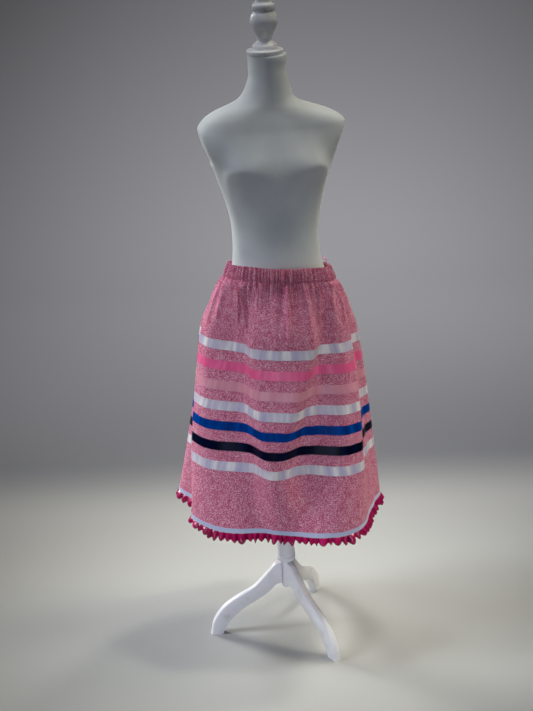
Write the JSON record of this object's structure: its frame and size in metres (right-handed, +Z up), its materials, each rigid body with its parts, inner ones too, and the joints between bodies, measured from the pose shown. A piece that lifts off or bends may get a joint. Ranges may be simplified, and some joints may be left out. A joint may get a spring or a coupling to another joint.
{
  "type": "ribbon skirt on a dress form",
  "caption": "Gathered cotton skirt with an elastic waistband, flat satin ribbon bands and a gathered satin hem ruffle, worn on a limbless dress form with a tripod stand.",
  "frame": {"origin": "on the floor under the middle of the skirt's outline seen from above", "axes": "+Z up along the pole, -Y is the front of the skirt, +X is the wearer's left"},
  "size_m": [0.6041, 0.5079, 1.826],
  "materials": {
    "pink_cotton": "matte, heathered weave",
    "white_satin": "satin",
    "hot_pink_satin": "satin",
    "blush_satin": "satin",
    "royal_blue_satin": "satin",
    "navy_satin": "satin",
    "pale_blue_tape": "satin",
    "magenta_satin": "satin",
    "loop_satin": "satin",
    "white_jersey": "matte, stretched smooth",
    "white_painted_wood": "satin paint"
  },
  "bodies": {
    "root": {"skirt_front": "pink_cotton", "skirt_back": "pink_cotton", "waistband": "pink_cotton", "ribbon_white_top": "white_satin", "ribbon_hot_pink": "hot_pink_satin", "ribbon_blush_pink": "blush_satin", "ribbon_white_middle": "white_satin", "ribbon_royal_blue": "royal_blue_satin", "ribbon_navy": "navy_satin", "ribbon_white_low": "white_satin", "hem_tape": "pale_blue_tape", "hem_ruffle": "magenta_satin", "hanger_loop": "loop_satin", "form_torso": "white_jersey", "neck_cap": "white_painted_wood", "finial": "white_painted_wood", "pole": "white_painted_wood", "hub": "white_painted_wood", "leg_1": "white_painted_wood", "leg_2": "white_painted_wood", "leg_3": "white_painted_wood"}
  },
  "joints": []
}
